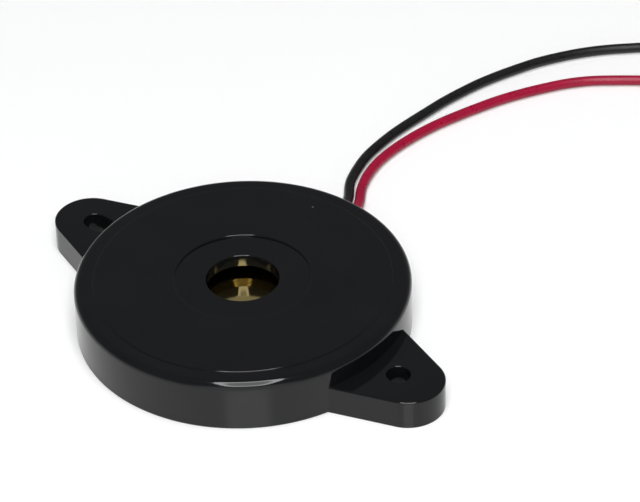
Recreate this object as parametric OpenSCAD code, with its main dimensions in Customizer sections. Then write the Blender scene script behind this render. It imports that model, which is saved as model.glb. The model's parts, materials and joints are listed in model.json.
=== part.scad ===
// Piezo element: a brass and ceramic bender in a round moulded housing with
// two fixing ears, a sound port in front and two flying leads behind.
//
// +Z is the way the sound port faces, X runs through both ears and the leads
// leave on the +Y side. The origin is the middle of the mounting face.

/* [Housing] */
// Outside diameter of the round body
body_d = 34; // [31:0.5:38]
// Height of the body from the mounting face to the ring round its front
body_h = 5.5; // [5.2:0.1:7]
// Thickness of the side wall
wall = 1.3; // [1.1:0.1:1.6]
// Radius of the rounding round the top edge
edge_r = 0.8; // [0.3:0.1:1]

/* [Front face] */
// Width of the ring round the raised centre
ring_w = 1.9; // [1.4:0.1:3]
// Height of the raised centre above the ring
crown_rise = 0.1; // [0.05:0.01:0.2]
// Diameter of the shallow recess round the sound port
recess_d = 13.8; // [11:0.2:18]
// Depth of the recess
recess_depth = 0.2; // [0.16:0.02:0.4]
// Radius of the recess's and the port's edges
lip_r = 0.12; // [0.05:0.01:0.14]
// Diameter of the sound port
port_d = 7.4; // [6:0.2:9]
// Thickness of the front plate
plate_t = 1.8; // [1.6:0.1:2]
// Radius of the rounding at the port's inner edge
port_inner_r = 0.5; // [0.3:0.1:0.6]

/* [Ears] */
// Distance from the body's wall to the middle of an ear's hole
ear_reach = 3; // [2.6:0.1:5]
// Thickness of the ears
ear_t = 3.1; // [2.6:0.1:3.6]
// Radius of an ear's round tip
ear_tip_r = 3.7; // [3.2:0.1:4.2]
// How far the tip's arc is centred beyond the hole
ear_tip_shift = 1.2; // [0.2:0.1:1.6]
// Angle at which an ear's sides spread towards the body
ear_flare = 20; // [10:1:26]
// Diameter of the hole and width of the slot
ear_hole_d = 2.4; // [2:0.1:2.8]
// Length of the slot from end to end
ear_slot_l = 3.4; // [3:0.1:4.4]

/* [Bender] */
// Thickness of the brass disc
brass_t = 0.25; // [0.15:0.05:0.3]
// Gap round the brass disc inside the wall
brass_gap = 0.2; // [0.1:0.05:0.4]
// Diameter of the ceramic disc
ceramic_d = 22; // [18:0.5:24]
// Thickness of the ceramic disc
ceramic_t = 0.2; // [0.15:0.05:0.3]
// Width of the ledge that carries the brass disc
ledge_w = 1.6; // [1.2:0.1:2]
// Thickness of the adhesive on the ledge
glue_t = 0.1; // [0.05:0.05:0.2]
// Distance of the adhesive from the edges of the ledge and the brass
glue_margin = 0.2; // [0.1:0.05:0.3]

/* [Rear cover] */
// Thickness of the cover
cover_t = 0.8; // [0.6:0.1:1]
// How far the cover lies in from the mounting face
cover_inset = 0.2; // [0.1:0.05:0.3]
// Width of the seat that the cover rests on
seat_w = 0.5; // [0.3:0.1:0.7]
// Gap round the cover
cover_gap = 0.05; // [0.03:0.01:0.1]

/* [Leads] */
// Diameter over the insulation
lead_d = 1.12; // [1:0.02:1.2]
// Gap between the two leads where they leave the housing
lead_space = 0.12; // [0.04:0.02:0.3]
// Direction in which the leads leave, counted from +X
lead_angle = 97; // [84:1:100]
// Gap round the leads in the notch
lead_gap = 0.2; // [0.1:0.05:0.3]
// Gap below the leads, to the cover, and above them, to the ceramic disc
lead_clear = 0.1; // [0.05:0.05:0.2]
// How far the sealant stands out of the wall
sealant_proud = 0.2; // [0.1:0.05:0.4]
// Diameter of the stripped strands
core_d = 0.6; // [0.5:0.05:0.7]
// Length stripped for the joints inside
bare_inside = 1.8; // [1.5:0.1:2.2]
// Length of the stripped and tinned free ends
tip_l = 4; // [3:0.5:4.5]

/* [Solder] */
// Diameter of the solder joints
solder_d = 2.2; // [1.8:0.1:2.4]
// Height of the solder joints
solder_h = 0.9; // [0.8:0.05:1]
// Distance of the electrode's joint from the ceramic's edge
solder_in = 3; // [2:0.5:6]

/* [Hidden] */
$fn = 96;
// How far a cutting shape runs past the face it cuts.
past = 0.5;

body_r = body_d / 2;
bore_r = body_r - wall;
seat_r = bore_r + seat_w;
ledge_r = bore_r - ledge_w;
crown_r = body_r - ring_w;
brass_r = bore_r - brass_gap;
ceramic_r = ceramic_d / 2;

// Heights of the front plate, from its top down.
crown_z = body_h + crown_rise;
recess_z = crown_z - recess_depth;
plate_z = recess_z - plate_t;

// Heights inside, from the cover up past the leads and the bender.
seat_z = cover_inset + cover_t;
lead_z = seat_z + lead_clear + lead_d / 2;
ceramic_z = lead_z + lead_d / 2 + lead_clear;
brass_z = ceramic_z + ceramic_t;
brass_top_z = brass_z + brass_t;
ledge_z = brass_top_z + glue_t;

// Ears: the sides touch the tip's arc and run on into the body.
hole_x = body_r + ear_reach;
tip_x = hole_x + ear_tip_shift;
touch_x = tip_x + ear_tip_r * sin(ear_flare);
touch_y = ear_tip_r * cos(ear_flare);
root_x = ledge_r - wall;
root_y = touch_y + (touch_x - root_x) * tan(ear_flare);
slot_shift = (ear_slot_l - ear_hole_d) / 2;

// The leads lie side by side: black at side -1, red at side 1.
black_side = -1;
red_side = 1;
lead_pitch = lead_d + lead_space;
channel_r = lead_d / 2 + lead_gap;
sealant_r = body_r + sealant_proud;
exit_y = sqrt(pow(sealant_r, 2) - pow(lead_pitch / 2, 2));

// Joints: distance from the middle, and depth of the strands in the solder.
black_joint_y = (ceramic_r + brass_r) / 2;
red_joint_y = ceramic_r - solder_in;
core_depth = solder_h / 2;

// Middle of a lead where it runs free, on the sealant's face.
function lead_exit(side) =
    let (across = side * lead_pitch / 2)
    [exit_y * cos(lead_angle) + across * sin(lead_angle),
     exit_y * sin(lead_angle) - across * cos(lead_angle),
     lead_z];

// Free leads, from the housing to their coils. They come down behind the
// housing and then lie on what it stands on.
rest_z = lead_d / 2;
black_drop = [[-2.9, 18.8, 1.35], [-3.7, 20.6, 0.8]];
black_flat = [
    [-4.6, 22.2], [-6.1, 24.3], [-7.1, 26.7], [-7.8, 29.2], [-8.1, 31.8], [-8.2, 34.4],
    [-8.1, 37], [-7.9, 39.7], [-7.7, 42.3], [-7.3, 45], [-6.8, 47.6], [-6.1, 50.1],
    [-5.2, 52.7], [-4.2, 55.2], [-2.9, 57.6], [-1.4, 59.9], [0.4, 62.1], [2.4, 64.1],
    [4.4, 66], [6.4, 67.8], [8.4, 69.7], [10.3, 71.4]];
red_drop = [[-1.7, 18.9, 1.35], [-2.3, 20.7, 0.8]];
red_flat = [
    [-3.1, 22.2], [-4.5, 24.3], [-5.5, 26.6], [-6.1, 29], [-6.3, 31.6], [-6.2, 34.1],
    [-5.9, 36.6], [-5.4, 39.1], [-4.7, 41.6], [-3.9, 44.1], [-3, 46.6], [-1.9, 49],
    [-0.6, 51.4], [0.9, 53.8], [2.7, 55.9], [4.8, 57.7], [7, 59.4], [9, 60.8],
    [11.1, 62.4], [13.3, 64], [15.4, 65.5], [17.5, 67.1]];

// Each lead ends in a flat coil: [middle, direction where the lead joins it,
// way round], wound inwards, with the lead's end curled into the open middle.
coil_d = 12;
coil_turns = 2;
coil_step = 1.15;
coil_out_r = (coil_d + coil_turns * coil_step) / 2;
coil_in_r = (coil_d - coil_turns * coil_step) / 2;
black_coil = [[7, 78.1], -47, 1];
red_coil = [[23.9, 62.9], 126, -1];
tail_r = 3.4;
tail_sweep = 130;
tail_steps = 4;

// ---- Housing ----

// What a rounding takes off a corner whose sides face +X and +Y.
module off_corner(r) {
    difference() {
        square(r + past);
        circle(r);
    }
}

// Rounds the outer corner at [x, y].
module round_out(x, y, r) {
    translate([x - r, y - r]) off_corner(r);
}

// Rounds the corner of an opening's rim at [x, y].
module round_in(x, y, r) {
    translate([x + r, y - r]) mirror([1, 0]) off_corner(r);
}

// Rounds the inner edge of an opening at [x, y].
module round_under(x, y, r) {
    translate([x + r, y + r]) rotate(180) off_corner(r);
}

// Half section of the body before it is hollowed.
module body_section() {
    difference() {
        square([body_r, body_h]);
        round_out(body_r, body_h, edge_r);
    }
    difference() {
        square([crown_r, crown_z]);
        round_out(crown_r, crown_z, crown_rise);
    }
}

// Half section of the recess and the sound port.
module front_opening_section() {
    translate([0, recess_z]) square([recess_d / 2, recess_depth + past]);
    round_in(recess_d / 2, crown_z, lip_r);
    square([port_d / 2, crown_z + past]);
    round_in(port_d / 2, recess_z, lip_r);
    round_under(port_d / 2, plate_z, port_inner_r);
}

// Half section of the hollow behind the front plate.
module hollow_section() {
    square([ledge_r, plate_z]);
    square([bore_r, ledge_z]);
    translate([0, -past]) square([seat_r, seat_z + past]);
}

// Plan of the ear on the +X side.
module ear_plan() {
    translate([tip_x, 0]) circle(ear_tip_r);
    polygon([[root_x, -root_y], [touch_x, -touch_y], [touch_x, touch_y], [root_x, root_y]]);
}

module ear() {
    linear_extrude(ear_t) ear_plan();
}

module ear_hole() {
    translate([hole_x, 0, -past]) cylinder(d = ear_hole_d, h = ear_t + 2 * past);
}

module ear_slot() {
    translate([-hole_x, 0, -past]) linear_extrude(ear_t + 2 * past) {
        for (end = [-1, 1]) translate([end * slot_shift, 0]) circle(d = ear_hole_d);
        square([2 * slot_shift, ear_hole_d], center = true);
    }
}

// Turns what is drawn along +Y to the direction of the leads.
module to_leads() {
    rotate([0, 0, lead_angle - 90]) children();
}

// The notch's outline, seen along the leads.
module notch_section() {
    translate([0, lead_z]) {
        for (side = [black_side, red_side]) translate([side * lead_pitch / 2, 0]) circle(channel_r);
        translate([-lead_pitch / 2, 0]) square([lead_pitch, channel_r]);
    }
    translate([-lead_pitch / 2 - channel_r, -past]) square([lead_pitch + 2 * channel_r, lead_z + past]);
}

// The notch, from inside the bore to past the outside of the wall.
module notch() {
    to_leads() translate([0, body_r + wall, 0]) rotate([90, 0, 0])
        linear_extrude(3 * wall) notch_section();
}

module housing() {
    color("#1c1d1f") difference() {
        union() {
            rotate_extrude() body_section();
            ear();
            mirror([1, 0, 0]) ear();
        }
        rotate_extrude() front_opening_section();
        rotate_extrude() hollow_section();
        ear_hole();
        ear_slot();
        notch();
    }
}

module rear_cover() {
    color("#232427") translate([0, 0, cover_inset]) cylinder(r = seat_r - cover_gap, h = cover_t);
}

// ---- Bender ----

module brass_diaphragm() {
    color("#c8a558") translate([0, 0, brass_z]) cylinder(r = brass_r, h = brass_t);
}

module ceramic_disc() {
    color("#d8d5c8") translate([0, 0, ceramic_z]) cylinder(r = ceramic_r, h = ceramic_t);
}

module diaphragm_adhesive() {
    color("#b9b4a0") translate([0, 0, brass_top_z]) difference() {
        cylinder(r = brass_r - glue_margin, h = glue_t);
        translate([0, 0, -past]) cylinder(r = ledge_r + glue_margin, h = glue_t + 2 * past);
    }
}

// ---- Leads inside the housing ----

// A straight round bar between two points.
module bar(from, to, d) {
    run = to - from;
    translate(from) rotate([0, acos(run[2] / norm(run)), atan2(run[1], run[0])])
        cylinder(d = d, h = norm(run));
}

// The insulated lead from near its joint out through the notch.
module lead_inside(side, joint_y) {
    to_leads() bar([side * lead_pitch / 2, joint_y + bare_inside, lead_z],
                   [side * lead_pitch / 2, exit_y, lead_z], lead_d);
}

// Stripped strands, rising from the insulation's end into the solder.
module conductor(side, joint_y, face_z) {
    end = [side * lead_pitch / 2, joint_y, face_z - core_depth];
    start = [side * lead_pitch / 2, joint_y + bare_inside, lead_z];
    difference() {
        to_leads() bar(start + (start - end) * 0.2, end, core_d);
        lead_inside(side, joint_y);
    }
}

// A solder joint: the part of a ball that stands below the face.
module solder(side, joint_y, face_z) {
    ball_r = (pow(solder_d / 2, 2) + pow(solder_h, 2)) / (2 * solder_h);
    difference() {
        to_leads() translate([side * lead_pitch / 2, joint_y, face_z - solder_h]) intersection() {
            translate([0, 0, ball_r]) sphere(ball_r);
            translate([-solder_d, -solder_d, -past]) cube([2 * solder_d, 2 * solder_d, solder_h + past]);
        }
        conductor(side, joint_y, face_z);
    }
}

module electrode_solder() {
    color("#b4b6b8") solder(red_side, red_joint_y, ceramic_z);
}

module brass_solder() {
    color("#b4b6b8") solder(black_side, black_joint_y, brass_z);
}

module red_conductor() {
    color("#c9c9c6") conductor(red_side, red_joint_y, ceramic_z);
}

module black_conductor() {
    color("#c9c9c6") conductor(black_side, black_joint_y, brass_z);
}

module red_lead_inside() {
    color("#a3142c") lead_inside(red_side, red_joint_y);
}

module black_lead_inside() {
    color("#202022") lead_inside(black_side, black_joint_y);
}

// Sealant in the notch, round both leads and clear of the cover.
module lead_sealant() {
    color("#2b2b2d") difference() {
        intersection() {
            notch();
            translate([0, 0, cover_inset]) cylinder(r = sealant_r, h = body_h);
        }
        translate([0, 0, -past]) cylinder(r = bore_r, h = body_h + past);
        translate([0, 0, -past]) cylinder(r = seat_r, h = seat_z + past);
        lead_inside(red_side, red_joint_y);
        lead_inside(black_side, black_joint_y);
    }
}

// ---- Free leads ----

tube_sides = 8;

function unit(v) = v / norm(v);

// Direction of a path at point i.
function heading(path, i) =
    unit(path[min(i + 1, len(path) - 1)] - path[max(i - 1, 0)]);

// Corners of the tube's ring at point i, with a flat side underneath.
function tube_ring(path, i, d) =
    let (ahead = heading(path, i),
         aside = unit(cross(ahead, [0, 0, 1])),
         above = cross(aside, ahead),
         r = d / 2 / cos(180 / tube_sides))
    [for (k = [0:tube_sides - 1])
        let (a = 360 * (k + 0.5) / tube_sides)
        path[i] + r * (cos(a) * aside + sin(a) * above)];

module tube(path, d) {
    rings = len(path);
    points = [for (i = [0:rings - 1]) each tube_ring(path, i, d)];
    start_cap = [for (k = [0:tube_sides - 1]) k];
    end_cap = [for (k = [tube_sides - 1:-1:0]) (rings - 1) * tube_sides + k];
    sides = [for (i = [0:rings - 2], k = [0:tube_sides - 1])
        let (next = (k + 1) % tube_sides, here = i * tube_sides, there = here + tube_sides)
        [here + k, there + k, there + next, here + next]];
    polyhedron(points, concat([start_cap], sides, [end_cap]));
}

// Point at an angle and a distance from a coil's middle.
function coil_point(coil, angle, r) =
    [coil[0][0] + r * cos(angle), coil[0][1] + r * sin(angle), rest_z];

// A free lead's whole route up to its coil.
function lead_route(side, drop, flat, coil) =
    concat([lead_exit(side)], drop, [for (p = flat) [p[0], p[1], rest_z]],
           [coil_point(coil, coil[1], coil_out_r)]);

// The lead's end, from the coil's inmost turn round into its middle.
function tail_centre(coil) = coil_point(coil, coil[1], coil_in_r - tail_r);
function tail_point(coil, sweep) =
    let (a = coil[1] + coil[2] * sweep)
    tail_centre(coil) + tail_r * [cos(a), sin(a), 0];
function tail_route(coil) =
    [for (i = [0:tail_steps]) tail_point(coil, tail_sweep * i / tail_steps)];

// Outer shape of a flat coil: rounded edges, one lead high.
module lead_coil(coil) {
    translate([coil[0][0], coil[0][1], 0]) rotate_extrude() {
        for (r = [coil_in_r, coil_out_r]) translate([r, rest_z]) circle(d = lead_d);
        translate([coil_in_r, 0]) square([coil_out_r - coil_in_r, lead_d]);
    }
}

module lead_tip(coil) {
    end = tail_point(coil, tail_sweep);
    a = coil[1] + coil[2] * (tail_sweep + 90);
    bar(end, end + tip_l * [cos(a), sin(a), 0], core_d);
}

module red_lead() {
    color("#a3142c") tube(lead_route(red_side, red_drop, red_flat, red_coil), lead_d);
}

module black_lead() {
    color("#202022") tube(lead_route(black_side, black_drop, black_flat, black_coil), lead_d);
}

module red_lead_coil() {
    color("#a3142c") lead_coil(red_coil);
}

module black_lead_coil() {
    color("#202022") lead_coil(black_coil);
}

module red_lead_tail() {
    color("#a3142c") tube(tail_route(red_coil), lead_d);
}

module black_lead_tail() {
    color("#202022") tube(tail_route(black_coil), lead_d);
}

module red_lead_tip() {
    color("#c9c9c6") lead_tip(red_coil);
}

module black_lead_tip() {
    color("#c9c9c6") lead_tip(black_coil);
}

housing();
rear_cover();
brass_diaphragm();
ceramic_disc();
diaphragm_adhesive();
electrode_solder();
brass_solder();
red_conductor();
black_conductor();
red_lead_inside();
black_lead_inside();
lead_sealant();
red_lead();
black_lead();
red_lead_coil();
black_lead_coil();
red_lead_tail();
black_lead_tail();
red_lead_tip();
black_lead_tip();
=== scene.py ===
# Piezo element: the finished surfaces, leads, light and camera round the
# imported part. Lengths are in millimetres, but for names that end in _m and
# for the light at the end. Each mesh is scaled to metres when it becomes an
# object.
import json
import math

import bmesh
import bpy
from mathutils import Matrix, Vector


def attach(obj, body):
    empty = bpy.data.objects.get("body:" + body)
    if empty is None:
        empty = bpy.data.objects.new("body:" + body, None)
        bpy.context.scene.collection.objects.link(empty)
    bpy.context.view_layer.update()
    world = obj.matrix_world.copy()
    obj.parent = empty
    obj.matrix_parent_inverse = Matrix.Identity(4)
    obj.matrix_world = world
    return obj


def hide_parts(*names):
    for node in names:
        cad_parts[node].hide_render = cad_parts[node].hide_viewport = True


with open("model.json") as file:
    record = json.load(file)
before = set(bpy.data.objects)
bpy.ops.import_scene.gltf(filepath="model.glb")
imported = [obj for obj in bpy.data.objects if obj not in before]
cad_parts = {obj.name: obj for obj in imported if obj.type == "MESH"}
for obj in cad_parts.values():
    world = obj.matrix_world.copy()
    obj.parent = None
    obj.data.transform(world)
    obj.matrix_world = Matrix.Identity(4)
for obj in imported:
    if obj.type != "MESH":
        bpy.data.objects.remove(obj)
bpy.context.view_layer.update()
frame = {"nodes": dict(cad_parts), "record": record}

MM = 0.001

# Round body and front face.
BODY_R = 17
BODY_H = 5.5
EDGE_R = 0.8
BASE_R = 0.1
CROWN_R = 15.1
CROWN_Z = 5.6
CROWN_EDGE_R = 0.1
RECESS_R = 6.9
RECESS_Z = 5.4
PORT_R = 3.7
LIP_R = 0.12
PLATE_Z = 3.6
PORT_BEVEL_W = 0.68
PORT_BEVEL_H = 0.5
LEDGE_R = 14.1
LEDGE_Z = 2.87
BORE_R = 15.7
SEAT_R = 16.2
SEAT_Z = 1.0

# Ears.
EAR_T = 3.1
EAR_TIP_X = 21.2
EAR_TIP_R = 3.7
EAR_FLARE = math.radians(20)
EAR_ROOT_R = 16.6
EAR_ROOT_CLEAR = 0.05
EAR_EDGE_R = 0.15
HOLE_EDGE_R = 0.12
HOLE_X = 20
HOLE_R = 1.2
SLOT_SHIFT = 0.5

# Making of the shells: steps of the body's full turn and of half a hole,
# narrow flats that keep smooth shading off the rounded edges, and how far a
# cut goes past what it cuts.
TURN_STEPS = 256
HALF_HOLE_STEPS = 32
HOLD = 0.03
CUT_PAST = 0.5

# Bender and cover.
BRASS_R = 15.5
BRASS_Z = 2.52
BRASS_TOP_Z = 2.77
COVER_R = 16.15
COVER_Z = 0.2
COVER_TOP_Z = 1.0
BRASS_ROUNDING = 0.04
COVER_ROUNDING = 0.1

# Leads.
LEAD_R = 0.56
LEAD_PITCH = 1.24
LEAD_ANGLE = math.radians(97)
LEAD_Z = 1.66
CHANNEL_R = 0.76
NOTCH_FROM = 14.4
NOTCH_DEPTH = 3.9
SEALANT_R = 17.2
SEALANT_GAP = 0.02
SEALANT_SOFT_L = 0.2
# Inset and depth of each step of the sealant's soft face.
SEALANT_SOFT_STEPS = ((0.05, 0.09), (0.08, 0.05), (0.12, 0.03))
CORE_R = 0.3
TIP_L = 4
TIP_HIDDEN_L = 0.3
STRANDS_ROUND = 6
STRAND_TURNS = 0.8
STRAND_STEP_L = 0.12
COIL_OUT_R = 7.15
COIL_IN_R = 4.85
COIL_TURNS = 2
TAIL_R = 3.4
TAIL_SWEEP = math.radians(130)

# Each free lead: side of the pair, way down to the ground, way over the
# ground, coil's middle, direction where the lead joins the coil, way round.
LEADS = {
    "black_lead": {
        "side": -1,
        "drop": [(-2.9, 18.8, 1.35), (-3.7, 20.6, 0.8)],
        "flat": [
            (-4.6, 22.2), (-6.1, 24.3), (-7.1, 26.7), (-7.8, 29.2), (-8.1, 31.8),
            (-8.2, 34.4), (-8.1, 37), (-7.9, 39.7), (-7.7, 42.3), (-7.3, 45),
            (-6.8, 47.6), (-6.1, 50.1), (-5.2, 52.7), (-4.2, 55.2), (-2.9, 57.6),
            (-1.4, 59.9), (0.4, 62.1), (2.4, 64.1), (4.4, 66), (6.4, 67.8),
            (8.4, 69.7), (10.3, 71.4),
        ],
        "coil": (7, 78.1),
        "start": math.radians(-47),
        "way": 1,
        "length_m": 0.1474,
    },
    "red_lead": {
        "side": 1,
        "drop": [(-1.7, 18.9, 1.35), (-2.3, 20.7, 0.8)],
        "flat": [
            (-3.1, 22.2), (-4.5, 24.3), (-5.5, 26.6), (-6.1, 29), (-6.3, 31.6),
            (-6.2, 34.1), (-5.9, 36.6), (-5.4, 39.1), (-4.7, 41.6), (-3.9, 44.1),
            (-3, 46.6), (-1.9, 49), (-0.6, 51.4), (0.9, 53.8), (2.7, 55.9),
            (4.8, 57.7), (7, 59.4), (9, 60.8), (11.1, 62.4), (13.3, 64),
            (15.4, 65.5), (17.5, 67.1),
        ],
        "coil": (23.9, 62.9),
        "start": math.radians(126),
        "way": -1,
        "length_m": 0.1465,
    },
}


# ---- Camera ----

CAMERA_EYE = (167.72, -182.14, 196.24)
CAMERA_AIM = (-1.404, 13.61, 0)
CAMERA_ROLL = math.radians(-1.569)
CAMERA_LENS = 175.1


def place_camera():
    eye = Vector(CAMERA_EYE) * MM
    aim = Vector(CAMERA_AIM) * MM
    data = bpy.data.cameras.new("camera")
    data.lens = CAMERA_LENS
    data.sensor_width = 36
    data.clip_start = 0.01
    data.clip_end = 20
    camera = bpy.data.objects.new("camera", data)
    bpy.context.scene.collection.objects.link(camera)
    turn = (aim - eye).to_track_quat("-Z", "Y").to_matrix().to_4x4()
    camera.matrix_world = Matrix.Translation(eye) @ turn @ Matrix.Rotation(CAMERA_ROLL, 4, "Z")
    bpy.context.scene.camera = camera


# ---- Pieces and their meshes ----

def link(name, data, material):
    """Makes an object of finished data, which rides on the part."""
    piece = bpy.data.objects.new(name, data)
    bpy.context.scene.collection.objects.link(piece)
    data.materials.clear()
    data.materials.append(material)
    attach(piece, "root")
    return piece


def solid(name, bm, material):
    """Makes a piece of a closed bmesh in millimetres."""
    bmesh.ops.remove_doubles(bm, verts=bm.verts, dist=1e-4)
    bmesh.ops.recalc_face_normals(bm, faces=bm.faces)
    bmesh.ops.transform(bm, matrix=Matrix.Scale(MM, 4), verts=bm.verts)
    mesh = bpy.data.meshes.new(name)
    bm.to_mesh(mesh)
    bm.free()
    return link(name, mesh, material)


def shade(piece, sharp_angle=30):
    """Smooth shading that keeps the corners sharper than an angle."""
    bm = bmesh.new()
    bm.from_mesh(piece.data)
    for face in bm.faces:
        face.smooth = True
    for edge in bm.edges:
        edge.smooth = edge.calc_face_angle(math.pi) < math.radians(sharp_angle)
    bm.to_mesh(piece.data)
    bm.free()
    even = piece.modifiers.new("even_flats", "WEIGHTED_NORMAL")
    even.keep_sharp = True


def combine(piece, other, operation):
    """Joins another closed mesh to a piece, or cuts it away, and drops it."""
    boolean = piece.modifiers.new("combine", "BOOLEAN")
    boolean.operation = operation
    boolean.solver = "EXACT"
    boolean.object = other
    depsgraph = bpy.context.evaluated_depsgraph_get()
    result = bpy.data.meshes.new_from_object(piece.evaluated_get(depsgraph))
    result.name = piece.name
    piece.modifiers.clear()
    piece.data = result
    bpy.data.objects.remove(other)


def scratch(name, bm):
    """A mesh object, in millimetres, that only cuts or joins another."""
    mesh = bpy.data.meshes.new(name)
    bm.to_mesh(mesh)
    bm.free()
    other = bpy.data.objects.new(name, mesh)
    bpy.context.scene.collection.objects.link(other)
    return other


def chain(bm, points):
    """A row of vertices joined by edges."""
    verts = [bm.verts.new(point) for point in points]
    for first, second in zip(verts, verts[1:]):
        bm.edges.new((first, second))
    return verts


def corner(x, z, radius, start, end, steps=8):
    """Points round an arc in the half section, angles from +X in degrees."""
    return [
        (x + radius * math.cos(math.radians(a)), 0, z + radius * math.sin(math.radians(a)))
        for a in [start + (end - start) * i / steps for i in range(steps + 1)]
    ]


def turn(bm, profile, closed=True):
    """Turns a half section round the middle into a closed shell."""
    verts = chain(bm, profile)
    if closed:
        bm.edges.new((verts[-1], verts[0]))
    bmesh.ops.spin(bm, geom=bm.verts[:] + bm.edges[:], cent=(0, 0, 0), axis=(0, 0, 1),
                   angle=math.tau, steps=TURN_STEPS, use_merge=True)
    bmesh.ops.remove_doubles(bm, verts=bm.verts, dist=1e-4)
    bmesh.ops.recalc_face_normals(bm, faces=bm.faces)


def raise_face(bm, face, vec, keep=True):
    """Extrudes a face by a vector and returns the moved face."""
    raised = bmesh.ops.extrude_face_region(bm, geom=[face], use_keep_orig=keep)
    moved = next(g for g in raised["geom"] if isinstance(g, bmesh.types.BMFace))
    bmesh.ops.translate(bm, vec=vec, verts=moved.verts)
    return moved


def turn_about(bm, angle):
    """Turns everything round the middle of the part."""
    bmesh.ops.rotate(bm, verts=bm.verts, cent=(0, 0, 0), matrix=Matrix.Rotation(angle, 3, "Z"))


# ---- Housing ----


def body_profile():
    """Half section of the hollow round body, from the foot of the wall up."""
    outside = [(SEAT_R, 0, 0)]
    outside += corner(BODY_R - BASE_R, BASE_R, BASE_R, -90, 0, 4)
    outside += corner(BODY_R - EDGE_R, BODY_H - EDGE_R, EDGE_R, 0, 90, 16)
    outside += [(BODY_R - EDGE_R - HOLD, 0, BODY_H), (CROWN_R + HOLD, 0, BODY_H)]
    outside += corner(CROWN_R - CROWN_EDGE_R, BODY_H, CROWN_EDGE_R, 0, 90, 6)
    outside += [(CROWN_R - CROWN_EDGE_R - HOLD, 0, CROWN_Z)]
    front = [(RECESS_R + LIP_R + HOLD, 0, CROWN_Z)]
    front += corner(RECESS_R + LIP_R, CROWN_Z - LIP_R, LIP_R, 90, 180, 6)
    front += [(RECESS_R, 0, RECESS_Z), (RECESS_R - HOLD, 0, RECESS_Z)]
    front += [(PORT_R + LIP_R + HOLD, 0, RECESS_Z)]
    front += corner(PORT_R + LIP_R, RECESS_Z - LIP_R, LIP_R, 90, 180, 6)
    inside = [(PORT_R, 0, PLATE_Z + PORT_BEVEL_H), (PORT_R + PORT_BEVEL_W, 0, PLATE_Z)]
    inside += [(LEDGE_R, 0, PLATE_Z), (LEDGE_R, 0, LEDGE_Z), (BORE_R, 0, LEDGE_Z)]
    inside += [(BORE_R, 0, SEAT_Z), (SEAT_R, 0, SEAT_Z)]
    return outside + front + inside


def arc(bm, start, middle, angle, steps):
    """Turns a new vertex round a middle and leaves the edges of its way."""
    vert = bm.verts.new(start)
    bmesh.ops.spin(bm, geom=[vert], cent=middle, axis=(0, 0, 1), angle=angle, steps=steps)


def close_outline(bm, verts):
    """Joins the open ends of an outline's arcs with straight edges."""
    ends = [v for v in verts if len(v.link_edges) == 1]
    while ends:
        first = ends.pop(0)
        near = min(ends, key=lambda v: abs(v.co.y - first.co.y))
        ends.remove(near)
        bm.edges.new((first, near))


def ear(name, about):
    """One ear: its outline filled, raised, and rounded on top."""
    bm = bmesh.new()
    touch_x = EAR_TIP_X + EAR_TIP_R * math.sin(EAR_FLARE)
    touch_y = EAR_TIP_R * math.cos(EAR_FLARE)
    arc(bm, (touch_x, -touch_y, 0), (EAR_TIP_X, 0, 0), math.pi - 2 * EAR_FLARE, 48)
    slope = math.tan(EAR_FLARE)
    rise = touch_y + touch_x * slope
    inner = math.sqrt((rise * slope) ** 2 - (1 + slope ** 2) * (rise ** 2 - EAR_ROOT_R ** 2))
    root_x = (rise * slope + inner) / (1 + slope ** 2)
    root_y = rise - slope * root_x
    arc(bm, (root_x, -root_y, 0), (0, 0, 0), 2 * math.atan2(root_y, root_x), 24)
    close_outline(bm, bm.verts[:])
    outline = bmesh.ops.contextual_create(bm, geom=bm.edges[:])
    raise_face(bm, outline["faces"][0], (0, 0, EAR_T))
    bmesh.ops.recalc_face_normals(bm, faces=bm.faces)
    rim = [edge for edge in bm.edges if is_ear_rim(edge)]
    bmesh.ops.bevel(bm, geom=rim, offset=EAR_EDGE_R, offset_type="OFFSET", segments=4,
                    profile=0.5, affect="EDGES", material=-1)
    turn_about(bm, about)
    return scratch(name, bm)


def is_ear_rim(edge):
    """Whether an edge is on an ear's top and outside its inner end."""
    ends = [vert.co for vert in edge.verts]
    outside = ((ends[0] + ends[1]) / 2).xy.length > EAR_ROOT_R + EAR_ROOT_CLEAR
    return outside and min(end.z for end in ends) > EAR_T - 1e-3


def ear_opening(name, half_slot, about):
    """What is cut from an ear: its hole or slot, flared where the rim is rounded."""
    bm = bmesh.new()
    profile = [(HOLE_R, 0, -CUT_PAST)]
    profile += corner(HOLE_R + HOLE_EDGE_R, EAR_T - HOLE_EDGE_R, HOLE_EDGE_R, 180, 90, 6)
    profile += [(HOLE_R + HOLE_EDGE_R, 0, EAR_T + CUT_PAST)]
    chain(bm, profile)
    turn_about(bm, -math.pi / 2)
    bmesh.ops.translate(bm, verts=bm.verts, vec=(HOLE_X + half_slot, 0, 0))
    end = bm.verts[:] + bm.edges[:]
    for side in (1, -1):
        half_turn = bmesh.ops.spin(bm, geom=end, cent=(HOLE_X + side * half_slot, 0, 0),
                                   axis=(0, 0, 1), angle=math.pi, steps=HALF_HOLE_STEPS)
        end = half_turn["geom_last"]
        if half_slot:
            end = run_edges(bm, end, (-2 * side * half_slot, 0, 0))
    bmesh.ops.remove_doubles(bm, verts=bm.verts, dist=1e-4)
    bmesh.ops.edgeloop_fill(bm, edges=[edge for edge in bm.edges if edge.is_boundary])
    bmesh.ops.recalc_face_normals(bm, faces=bm.faces)
    turn_about(bm, about)
    return scratch(name, bm)


def run_edges(bm, geom, vec):
    """Runs a row of edges along a vector and returns the row at its end."""
    edges = [g for g in geom if isinstance(g, bmesh.types.BMEdge)]
    made = bmesh.ops.extrude_edge_only(bm, edges=edges)["geom"]
    bmesh.ops.translate(bm, vec=vec, verts=[g for g in made if isinstance(g, bmesh.types.BMVert)])
    return [g for g in made if not isinstance(g, bmesh.types.BMFace)]


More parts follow.
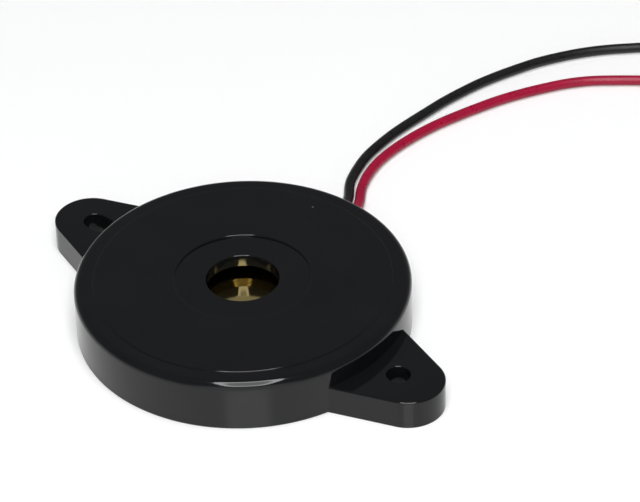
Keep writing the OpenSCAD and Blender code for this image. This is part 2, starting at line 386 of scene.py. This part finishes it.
def notch_outline(bm, bottom):
    """Outline of the notch, seen along the leads, down to a height."""
    half = LEAD_PITCH / 2
    points = [(-half - CHANNEL_R, 0, bottom), (half + CHANNEL_R, 0, bottom)]
    points += corner(half, LEAD_Z, CHANNEL_R, 0, 90, 12)
    points += corner(-half, LEAD_Z, CHANNEL_R, 90, 180, 12)
    return bm.faces.new(chain(bm, points))


def to_leads(bm):
    """Turns what is drawn along +Y to the direction of the leads."""
    turn_about(bm, LEAD_ANGLE - math.pi / 2)


def notch():
    """What is cut from the wall for the leads."""
    bm = bmesh.new()
    face = notch_outline(bm, -CUT_PAST)
    bmesh.ops.translate(bm, verts=bm.verts, vec=(0, NOTCH_FROM, 0))
    raise_face(bm, face, (0, NOTCH_DEPTH, 0))
    to_leads(bm)
    bmesh.ops.recalc_face_normals(bm, faces=bm.faces)
    return scratch("notch", bm)


def make_housing(material):
    """The body with both ears joined on, their openings and the notch cut."""
    bm = bmesh.new()
    turn(bm, body_profile())
    body = scratch("housing_shell", bm)
    combine(body, ear("right_ear", 0), "UNION")
    combine(body, ear("left_ear", math.pi), "UNION")
    combine(body, ear_opening("right_hole", 0, 0), "DIFFERENCE")
    combine(body, ear_opening("left_slot", SLOT_SHIFT, math.pi), "DIFFERENCE")
    combine(body, notch(), "DIFFERENCE")
    bm = bmesh.new()
    bm.from_mesh(body.data)
    bpy.data.objects.remove(body)
    housing = solid("housing_shell", bm, material)
    shade(housing)
    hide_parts("housing")


# ---- Cover, brass and sealant ----

def make_disc(name, radius, bottom, top, rounding, material, node):
    """A round plate with rounded edges."""
    bm = bmesh.new()
    profile = [(0, 0, bottom), (radius - rounding - HOLD, 0, bottom)]
    profile += corner(radius - rounding, bottom + rounding, rounding, -90, 0, 4)
    profile += corner(radius - rounding, top - rounding, rounding, 0, 90, 4)
    profile += [(radius - rounding - HOLD, 0, top), (0, 0, top)]
    turn(bm, profile, closed=False)
    piece = solid(name, bm, material)
    shade(piece)
    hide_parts(node)


def lead_hole(side):
    """The room that a lead takes in the sealant."""
    bm = bmesh.new()
    bmesh.ops.create_cone(bm, cap_ends=True, segments=32, radius1=LEAD_R, radius2=LEAD_R, depth=4)
    upright = Matrix.Rotation(math.pi / 2, 3, "X")
    bmesh.ops.rotate(bm, verts=bm.verts, cent=(0, 0, 0), matrix=upright)
    bmesh.ops.translate(bm, verts=bm.verts, vec=(side * LEAD_PITCH / 2, BODY_R, LEAD_Z))
    to_leads(bm)
    return scratch("lead_hole", bm)


def make_sealant(material):
    """Sealant in the notch, with a soft face that stands out of the wall."""
    bm = bmesh.new()
    face = notch_outline(bm, COVER_Z)
    bmesh.ops.translate(bm, verts=bm.verts, vec=(0, SEAT_R + SEALANT_GAP, 0))
    front = raise_face(bm, face, (0, SEALANT_R - SEAT_R - SEALANT_SOFT_L, 0))
    for inset, depth in SEALANT_SOFT_STEPS:
        front = raise_face(bm, front, (0, depth, 0), keep=False)
        middle = front.calc_center_median()
        for vert in front.verts:
            vert.co -= (vert.co - middle).normalized() * inset
    to_leads(bm)
    bmesh.ops.recalc_face_normals(bm, faces=bm.faces)
    block = scratch("sealant", bm)
    combine(block, lead_hole(-1), "DIFFERENCE")
    combine(block, lead_hole(1), "DIFFERENCE")
    bm = bmesh.new()
    bm.from_mesh(block.data)
    bpy.data.objects.remove(block)
    piece = solid("lead_sealant_bead", bm, material)
    shade(piece, 50)
    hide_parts("lead_sealant")


# ---- Free leads ----

def lead_exit(side):
    """Where a lead's middle leaves the sealant."""
    across = side * LEAD_PITCH / 2
    out = math.sqrt(SEALANT_R ** 2 - (LEAD_PITCH / 2) ** 2)
    return (out * math.cos(LEAD_ANGLE) + across * math.sin(LEAD_ANGLE),
            out * math.sin(LEAD_ANGLE) - across * math.cos(LEAD_ANGLE), LEAD_Z)


def round_about(middle, angle, radius):
    """A point on the ground-level circle of a coil or tail."""
    return (middle[0] + radius * math.cos(angle), middle[1] + radius * math.sin(angle), LEAD_R)


def lead_route(lead):
    """Middle line of a free lead: out, down, over the ground, coil and end."""
    points = [lead_exit(lead["side"])] + lead["drop"]
    points += [(x, y, LEAD_R) for x, y in lead["flat"]]
    steps = 24 * COIL_TURNS
    for i in range(steps + 1):
        share = i / steps
        angle = lead["start"] + lead["way"] * math.tau * COIL_TURNS * share
        radius = COIL_OUT_R + (COIL_IN_R - COIL_OUT_R) * share
        points.append(round_about(lead["coil"], angle, radius))
    middle = round_about(lead["coil"], lead["start"], COIL_IN_R - TAIL_R)
    for i in range(1, 7):
        angle = lead["start"] + lead["way"] * TAIL_SWEEP * i / 6
        points.append(round_about(middle, angle, TAIL_R))
    return points


def round_curve(name, radius, resolution):
    """An empty curve that makes closed round wire of a radius."""
    curve = bpy.data.curves.new(name, "CURVE")
    curve.dimensions = "3D"
    curve.bevel_depth = radius * MM
    curve.bevel_resolution = resolution
    curve.resolution_u = resolution
    curve.use_fill_caps = True
    return curve


def make_lead(name, lead, material, strand_material):
    """A free lead from the sealant to the end of its coil, and its bare tip."""
    points = lead_route(lead)
    curve = round_curve(name + "_wire", LEAD_R, 6)
    spline = curve.splines.new("BEZIER")
    spline.bezier_points.add(len(points) - 1)
    route = [Vector(point) for point in points]
    for i, knot in enumerate(spline.bezier_points):
        here = route[i]
        before = route[max(i - 1, 0)]
        after = route[min(i + 1, len(route) - 1)]
        ahead = after - before
        if here.z == LEAD_R:
            ahead.z = 0
        ahead.normalize()
        knot.handle_left_type = knot.handle_right_type = "FREE"
        knot.co = here * MM
        knot.handle_left = (here - ahead * (here - before).length / 3) * MM
        knot.handle_right = (here + ahead * (after - here).length / 3) * MM
    wire = link(name + "_wire", curve, material)
    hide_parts(name, name + "_coil", name + "_tail")
    tip = make_tip(name, points[-1], lead, strand_material)


def make_tip(name, end, lead, material):
    """The tinned strands at a lead's free end, twisted round each other."""
    heading = lead["start"] + lead["way"] * (TAIL_SWEEP + math.pi / 2)
    ahead = Vector((math.cos(heading), math.sin(heading), 0))
    aside = Vector((-ahead.y, ahead.x, 0))
    above = Vector((0, 0, 1))
    curve = round_curve(name + "_strands", CORE_R / 3, 3)
    steps = 16
    for k in range(STRANDS_ROUND + 1):
        spline = curve.splines.new("BEZIER")
        spline.bezier_points.add(steps)
        # The last strand is the straight one in the middle.
        radius = CORE_R * 2 / 3 if k < STRANDS_ROUND else 0
        length = TIP_L + TIP_HIDDEN_L - STRAND_STEP_L * (k % 3)
        for i, knot in enumerate(spline.bezier_points):
            angle = math.tau * (k / STRANDS_ROUND + STRAND_TURNS * i / steps)
            off = radius * (aside * math.cos(angle) + above * math.sin(angle))
            run = length * i / steps - TIP_HIDDEN_L
            knot.co = (Vector(end) + ahead * run + off) * MM
            knot.handle_left_type = knot.handle_right_type = "AUTO"
    strands = link(name + "_strands", curve, material)
    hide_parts(name + "_tip")
    return strands


# ---- Finishes ----

class Nodes:
    """Short ways to add nodes to a node tree."""

    def __init__(self, tree):
        self.tree = tree

    def feed(self, socket, value):
        """Links a socket to an input, or sets the input to a value."""
        if isinstance(value, bpy.types.NodeSocket):
            self.tree.links.new(value, socket)
        else:
            socket.default_value = value

    def add(self, kind, *values, operation=None):
        """A new node, with values for its first inputs in their order."""
        node = self.tree.nodes.new(kind)
        if operation:
            node.operation = operation
        for socket, value in zip(node.inputs, values):
            self.feed(socket, value)
        return node

    def math(self, operation, first, second):
        return self.add("ShaderNodeMath", first, second, operation=operation).outputs[0]

    def vector(self, operation, *values):
        return self.add("ShaderNodeVectorMath", *values, operation=operation).outputs["Vector"]

    def measure(self, operation, *values):
        """A vector operation that gives a number."""
        return self.add("ShaderNodeVectorMath", *values, operation=operation).outputs["Value"]

    def between(self, value, low, high, to_low=0.0, to_high=1.0):
        """Takes a value from one range to another and holds it there."""
        return self.add("ShaderNodeMapRange", value, low, high, to_low, to_high).outputs["Result"]


class Finish(Nodes):
    """A material on the piece's own Object coordinates, in metres."""

    def __init__(self, name, color, roughness, metallic=0.0):
        self.material = bpy.data.materials.new(name)
        self.material.use_nodes = True
        super().__init__(self.material.node_tree)
        self.shader = self.tree.nodes["Principled BSDF"]
        self.set("Base Color", (*color, 1))
        self.set("Roughness", roughness)
        self.set("Metallic", metallic)
        self.place = self.add("ShaderNodeTexCoord").outputs["Object"]

    def set(self, socket, value):
        self.feed(self.shader.inputs[socket], value)

    def stretched(self, scale, turn):
        """The coordinates, stretched and turned."""
        node = self.add("ShaderNodeMapping", self.place)
        node.inputs["Scale"].default_value = scale
        node.inputs["Rotation"].default_value = turn
        return node.outputs["Vector"]

    def noise(self, scale, detail, vector=None, roughness=0.55):
        node = self.add("ShaderNodeTexNoise", vector or self.place)
        node.inputs["Scale"].default_value = scale
        node.inputs["Detail"].default_value = detail
        node.inputs["Roughness"].default_value = roughness
        return node.outputs["Fac"]

    def cells(self, scale, output):
        node = self.add("ShaderNodeTexVoronoi", self.place)
        node.inputs["Scale"].default_value = scale
        return node.outputs[output]

    def mix(self, factor, first, second):
        """Colour between two colours."""
        node = self.add("ShaderNodeMix", factor)
        node.data_type = "RGBA"
        for socket, color in ((node.inputs[6], first), (node.inputs[7], second)):
            self.feed(socket, color if isinstance(color, bpy.types.NodeSocket) else (*color, 1))
        return node.outputs[2]

    def cloud_color(self, scale, detail, low, high, first, second):
        """The surface goes from one colour to another in clouds."""
        cloud = self.between(self.noise(scale, detail), low, high)
        self.set("Base Color", self.mix(cloud, first, second))

    def cloud_roughness(self, scale, detail, smooth, rough):
        """The surface goes from smoother to rougher in clouds."""
        self.set("Roughness", self.between(self.noise(scale, detail), 0.3, 0.7, smooth, rough))

    def bump(self, height, distance, strength=1.0):
        """Adds relief, its height given in metres."""
        node = self.add("ShaderNodeBump")
        node.inputs["Strength"].default_value = strength
        node.inputs["Distance"].default_value = distance
        self.feed(node.inputs["Height"], height)
        before = self.shader.inputs["Normal"]
        if before.is_linked:
            self.feed(node.inputs["Normal"], before.links[0].from_socket)
        self.feed(before, node.outputs["Normal"])


def black_plastic(name, dark, light, rough_low, rough_high, ior):
    """Smooth moulded plastic with faint scratches and a few specks of dust."""
    finish = Finish(name, dark, rough_low)
    finish.set("IOR", ior)
    cloud = finish.between(finish.noise(160, 4), 0.35, 0.7)
    color = finish.mix(cloud, dark, light)
    pick = finish.between(finish.cells(600, "Color"), 0.9, 0.91)
    near = finish.between(finish.cells(600, "Distance"), 0.03, 0.08, 1, 0)
    speck = finish.math("MULTIPLY", pick, near)
    finish.set("Base Color", finish.mix(speck, color, (0.12, 0.117, 0.11)))
    wear = finish.noise(500, 5, roughness=0.6)
    finish.set("Roughness", finish.between(wear, 0.3, 0.75, rough_low, rough_high))
    scratch_a = finish.noise(1, 2, finish.stretched((260, 7000, 3000), (0, 0, 0.5)))
    scratch_b = finish.noise(1, 2, finish.stretched((200, 6000, 3000), (0, 0, -0.9)))
    for line in (scratch_a, scratch_b):
        finish.bump(finish.between(line, 0.74, 0.78), 1e-6)
    return finish.material


def sheet_brass(name):
    """Rolled brass sheet: bright, with fine lines along the rolling."""
    finish = Finish(name, (0.9, 0.7, 0.27), 0.16, 1.0)
    finish.cloud_color(240, 5, 0.4, 0.75, (0.9, 0.72, 0.3), (0.82, 0.62, 0.25))
    lines = finish.noise(1, 3, finish.stretched((300, 14000, 300), (0, 0, 0.7)))
    finish.set("Roughness", finish.between(lines, 0.3, 0.7, 0.06, 0.12))
    finish.bump(lines, 1e-6)
    finish.bump(finish.noise(260, 2), 4e-6)
    return finish.material


def pvc(name, color, deep, roughness):
    """Soft extruded insulation with a slightly uneven, greasy surface."""
    finish = Finish(name, color, roughness)
    finish.set("IOR", 1.39)
    finish.cloud_color(420, 4, 0.35, 0.7, color, deep)
    finish.cloud_roughness(1500, 4, roughness - 0.06, roughness + 0.1)
    finish.bump(finish.noise(900, 3), 8e-6)
    finish.bump(finish.noise(6000, 2), 2e-6)
    return finish.material


def fired_ceramic(name):
    """Silvered ceramic: a pale matt electrode with fine specks."""
    finish = Finish(name, (0.62, 0.61, 0.57), 0.45, 0.6)
    finish.cloud_color(2500, 5, 0, 1, (0.52, 0.51, 0.48), (0.72, 0.71, 0.67))
    finish.cloud_roughness(1800, 4, 0.38, 0.55)
    finish.bump(finish.noise(9000, 3), 2e-6)
    return finish.material


def soft_metal(name, color, roughness):
    """Tin on solder joints and strands, dulled in patches."""
    finish = Finish(name, color, roughness, 1.0)
    dull = tuple(c * 0.72 for c in color)
    finish.cloud_color(1600, 5, 0.4, 0.7, color, dull)
    finish.cloud_roughness(2600, 4, roughness - 0.08, roughness + 0.15)
    finish.bump(finish.noise(3500, 3), 6e-6)
    return finish.material


def cured_resin(name, color, roughness):
    """Poured adhesive or sealant, slightly lumpy."""
    finish = Finish(name, color, roughness)
    dark = tuple(c * 0.6 for c in color)
    finish.cloud_color(900, 4, 0.35, 0.7, color, dark)
    finish.cloud_roughness(1500, 3, roughness - 0.1, roughness + 0.1)
    finish.bump(finish.noise(700, 3), 2e-5)
    return finish.material


# ---- Floor and light, in metres ----

FLOOR_R = 2.5
FLOOR_DROP = 0.00002
FLOOR_COLOR = (0.82, 0.82, 0.82, 1)
FLOOR_ROUGHNESS = 0.16
FLOOR_GLOW = 0.2

# The softbox faces the part from above its front side.
LAMP_DISTANCE = 0.6
LAMP_TURN = math.radians(40.8)
LAMP_HEIGHT = math.radians(65.5)
LAMP_LENGTH = 0.76
LAMP_WIDTH = 0.288
LAMP_ASIDE = 0.01
LAMP_RADIANCE = 4.0
RIM_START = 0.66
RIM_BLEND = 0.08
RIM_GAIN = 2.8
TOWARD_LAMP = Vector((math.sin(LAMP_TURN), -math.cos(LAMP_TURN), 0))

# The room: its light near the ground and from a height upward.
ROOM_COLOR = (0.97, 0.98, 1, 1)
ROOM_LOW_Z = 0.1
ROOM_LOW_LEVEL = 0.3
ROOM_HIGH_Z = 0.4
ROOM_HIGH_LEVEL = 0.18

# Pale wall on the lamp's side: where it starts, where it is full, its light.
WALL_EDGE = 0.8
WALL_MIDDLE = 0.95
WALL_LEVEL = 0.85


def place_floor():
    """A wide pale floor, which looks white and keeps the part's shadow."""
    bm = bmesh.new()
    bmesh.ops.create_circle(bm, cap_ends=True, segments=64, radius=FLOOR_R)
    bmesh.ops.translate(bm, verts=bm.verts, vec=(0, 0, -FLOOR_DROP))
    mesh = bpy.data.meshes.new("floor")
    bm.to_mesh(mesh)
    bm.free()
    floor = bpy.data.objects.new("floor", mesh)
    bpy.context.scene.collection.objects.link(floor)
    mesh.materials.append(pale_floor())


def pale_floor():
    """Pale paint, with a little more light for what looks at it."""
    material = bpy.data.materials.new("pale_floor")
    material.use_nodes = True
    nodes = Nodes(material.node_tree)
    nodes.tree.nodes.clear()
    paint = nodes.add("ShaderNodeBsdfPrincipled")
    paint.inputs["Base Color"].default_value = FLOOR_COLOR
    paint.inputs["Roughness"].default_value = FLOOR_ROUGHNESS
    rays = nodes.add("ShaderNodeLightPath").outputs
    seen = nodes.math("MAXIMUM", rays["Is Camera Ray"], rays["Is Glossy Ray"])
    seen = nodes.math("MAXIMUM", seen, rays["Is Transmission Ray"])
    glow = nodes.add("ShaderNodeEmission")
    nodes.feed(glow.inputs["Strength"], nodes.math("MULTIPLY", seen, FLOOR_GLOW))
    both = nodes.add("ShaderNodeAddShader", paint.outputs[0], glow.outputs[0])
    nodes.add("ShaderNodeOutputMaterial", both.outputs[0])
    return material


def bright_rim(data):
    """Rounds a lamp, squarer at its low end, with an edge brighter than its middle."""
    data.use_nodes = True
    nodes = Nodes(data.node_tree)
    place = nodes.add("ShaderNodeNewGeometry").outputs["Parametric"]
    flat = nodes.vector("MULTIPLY", nodes.vector("SUBTRACT", place, (0.5, 0.5, 0)), (2, 2, 0))
    oval = nodes.measure("LENGTH", flat)
    squares = nodes.vector("MULTIPLY", flat, flat)
    fourths = nodes.vector("MULTIPLY", squares, squares)
    square = nodes.math("POWER", nodes.measure("DOT_PRODUCT", fourths, (1, 1, 0)), 0.25)
    low_end = nodes.math("LESS_THAN", nodes.add("ShaderNodeSeparateXYZ", flat).outputs["Y"], 0)
    away = nodes.between(low_end, 0, 1, oval, square)
    inside = nodes.math("LESS_THAN", away, 1)
    level = nodes.between(away, RIM_START, RIM_START + RIM_BLEND, 1, RIM_GAIN)
    emission = nodes.tree.nodes["Emission"]
    nodes.feed(emission.inputs["Strength"], nodes.math("MULTIPLY", level, inside))


def place_lamp():
    """A long softbox with rounded ends and a bright rim."""
    side = Vector((math.cos(LAMP_TURN), math.sin(LAMP_TURN), 0))
    out = TOWARD_LAMP * math.cos(LAMP_HEIGHT) + Vector((0, 0, math.sin(LAMP_HEIGHT)))
    data = bpy.data.lights.new("softbox", "AREA")
    data.shape = "RECTANGLE"
    data.size = LAMP_WIDTH
    data.size_y = LAMP_LENGTH
    data.energy = math.pi * data.size * data.size_y * LAMP_RADIANCE
    bright_rim(data)
    lamp = bpy.data.objects.new("softbox", data)
    bpy.context.scene.collection.objects.link(lamp)
    turned = Matrix((side, out.cross(side), out)).transposed().to_4x4()
    lamp.matrix_world = Matrix.Translation(out * LAMP_DISTANCE + side * LAMP_ASIDE) @ turned


def place_room():
    """Dim light from all round, brighter near the ground and at the pale wall."""
    world = bpy.data.worlds.new("room")
    bpy.context.scene.world = world
    world.use_nodes = True
    nodes = Nodes(world.node_tree)
    back = nodes.tree.nodes["Background"]
    back.inputs["Color"].default_value = ROOM_COLOR
    direction = nodes.add("ShaderNodeTexCoord").outputs["Generated"]
    height = nodes.add("ShaderNodeSeparateXYZ", direction).outputs["Z"]
    level = nodes.between(height, ROOM_LOW_Z, ROOM_HIGH_Z, ROOM_LOW_LEVEL, ROOM_HIGH_LEVEL)
    ahead = nodes.measure("DOT_PRODUCT", direction, TOWARD_LAMP)
    wall = nodes.between(ahead, WALL_EDGE, WALL_MIDDLE, 0, WALL_LEVEL)
    nodes.feed(back.inputs["Strength"], nodes.math("ADD", level, wall))


# ---- Everything together ----

place_camera()

finishes = {
    "housing_plastic": black_plastic(
        "housing_plastic", (0.0045, 0.0048, 0.0055), (0.006, 0.0062, 0.007), 0.06, 0.1, 1.39),
    "cover_plastic": black_plastic(
        "cover_plastic", (0.02, 0.02, 0.021), (0.03, 0.03, 0.032), 0.4, 0.55, 1.5),
    "brass": sheet_brass("brass"),
    "ceramic": fired_ceramic("ceramic"),
    "adhesive": cured_resin("adhesive", (0.48, 0.45, 0.35), 0.4),
    "solder": soft_metal("solder", (0.72, 0.72, 0.73), 0.25),
    "tinned_copper": soft_metal("tinned_copper", (0.75, 0.74, 0.72), 0.28),
    "red_pvc": pvc("red_pvc", (0.34, 0.003, 0.034), (0.28, 0.002, 0.028), 0.3),
    "black_pvc": pvc("black_pvc", (0.009, 0.009, 0.009), (0.006, 0.006, 0.006), 0.3),
    "sealant": cured_resin("sealant", (0.02, 0.02, 0.021), 0.4),
}

slot_of = {row["node"]: row["material_slot"] for row in frame["record"]["subparts"]}
for node, piece in frame["nodes"].items():
    piece.data.materials.clear()
    piece.data.materials.append(finishes[slot_of[node]])

for name, lead in LEADS.items():
    slot = name.replace("lead", "pvc")
    make_lead(name, lead, finishes[slot], finishes["tinned_copper"])
make_housing(finishes["housing_plastic"])
make_disc("brass_plate", BRASS_R, BRASS_Z, BRASS_TOP_Z, BRASS_ROUNDING,
          finishes["brass"], "brass_diaphragm")
make_disc("rear_plate", COVER_R, COVER_Z, COVER_TOP_Z, COVER_ROUNDING,
          finishes["cover_plastic"], "rear_cover")
make_sealant(finishes["sealant"])

place_floor()
place_lamp()
place_room()
bpy.context.scene.view_settings.view_transform = "Standard"
